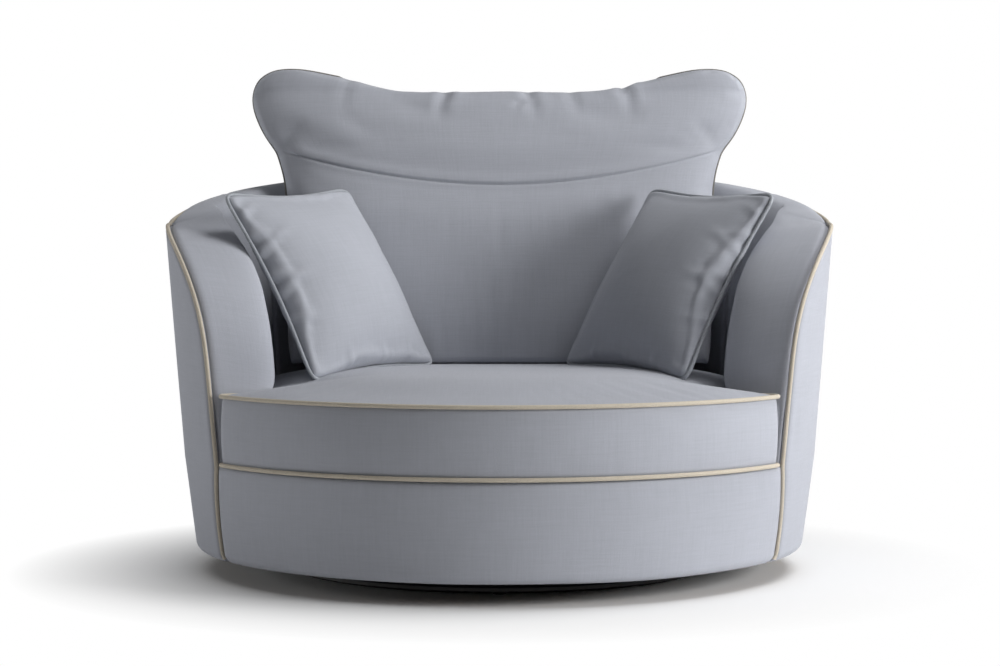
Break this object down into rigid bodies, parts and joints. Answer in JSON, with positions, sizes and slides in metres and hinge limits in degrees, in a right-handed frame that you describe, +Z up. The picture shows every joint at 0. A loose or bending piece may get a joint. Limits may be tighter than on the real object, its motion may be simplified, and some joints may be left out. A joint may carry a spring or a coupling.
{
  "type": "cuddle chair",
  "caption": "Round upholstered swivel cuddle chair with loose seat, back and scatter cushions, on a low steel ring base.",
  "frame": {"origin": "on the floor, on the swivel axis, under the middle of the chair", "axes": "+Z up; the chair faces -Y, so +X is on the right of someone looking at its front"},
  "size_m": [1.3, 1.2574, 0.9978],
  "materials": {
    "linen": "matte",
    "scatter_linen": "matte",
    "piping_cloth": "matte",
    "foam": "matte",
    "timber": "matte",
    "webbing": "matte",
    "black_cloth": "matte",
    "base_steel": "satin",
    "zinc_steel": "satin",
    "glide_plastic": "matte",
    "zip_plastic": "matte"
  },
  "bodies": {
    "base": {"base_ring": "base_steel", "base_bar_long": "base_steel", "base_bar_front": "base_steel", "base_bar_rear": "base_steel", "floor_glide_left": "glide_plastic", "floor_glide_right": "glide_plastic", "floor_glide_front": "glide_plastic", "floor_glide_rear": "glide_plastic", "base_hub_plate": "base_steel", "bearing_lower_race": "zinc_steel"},
    "bearing_cage": {"bearing_ball_cage": "zinc_steel"},
    "tub": {"bearing_upper_race": "zinc_steel", "swivel_top_plate": "zinc_steel", "plate_bolt_1": "zinc_steel", "plate_bolt_2": "zinc_steel", "plate_bolt_3": "zinc_steel", "plate_bolt_4": "zinc_steel", "bottom_board": "timber", "seat_ring": "timber", "front_post_left": "timber", "front_post_right": "timber", "side_rib_left": "timber", "side_rib_right": "timber", "back_rib_left": "timber", "back_rib_right": "timber", "front_stud_left": "timber", "front_stud_right": "timber", "top_rail": "timber", "seat_strap_left": "webbing", "seat_strap_middle": "webbing", "seat_strap_right": "webbing", "cross_strap_front": "webbing", "cross_strap_rear": "webbing", "platform_pad": "black_cloth", "dust_cover": "black_cloth", "outer_panel_left": "linen", "outer_panel_right": "linen", "outer_panel_back": "linen", "front_border": "linen", "arm_pad_left": "linen", "arm_pad_right": "linen", "back_pad": "linen", "rim_piping": "piping_cloth"},
    "seat_cushion": {"seat_cushion_cover": "linen", "seat_cushion_zip": "zip_plastic", "seat_cushion_core": "foam", "seat_piping_top": "piping_cloth", "seat_piping_bottom": "piping_cloth"},
    "back_cushion": {"back_cushion_cover": "linen", "back_cushion_zip": "zip_plastic", "back_cushion_filling": "foam", "back_piping_left": "piping_cloth", "back_piping_right": "piping_cloth"},
    "scatter_cushion_left": {"scatter_cover_left": "scatter_linen", "scatter_filling_left": "foam", "scatter_piping_left": "piping_cloth"},
    "scatter_cushion_right": {"scatter_cover_right": "scatter_linen", "scatter_filling_right": "foam", "scatter_piping_right": "piping_cloth"}
  },
  "joints": [
    {"name": "swivel", "type": "hinge", "parent": "base", "child": "tub", "pos_m": [0, 0, 0.0325], "axis": [0, 0, 1], "continuous": true},
    {"name": "cage_turn", "type": "hinge", "parent": "base", "child": "bearing_cage", "pos_m": [0, 0, 0.0325], "axis": [0, 0, 1], "continuous": true},
    {"name": "seat_cushion_lift", "type": "slide", "parent": "tub", "child": "seat_cushion", "axis": [0, 0, 1], "range_m": [0, 0.15]},
    {"name": "back_cushion_lift", "type": "slide", "parent": "seat_cushion", "child": "back_cushion", "axis": [0, 0, 1], "range_m": [0, 0.15]},
    {"name": "scatter_left_lift", "type": "slide", "parent": "back_cushion", "child": "scatter_cushion_left", "axis": [0.4509, -0.3509, 0.8207], "range_m": [0, 0.12]},
    {"name": "scatter_right_lift", "type": "slide", "parent": "back_cushion", "child": "scatter_cushion_right", "axis": [-0.4509, -0.3509, 0.8207], "range_m": [0, 0.12]}
  ],
  "couplings": [
    {"joint": "cage_turn", "follows": "swivel", "ratio": 0.5}
  ]
}
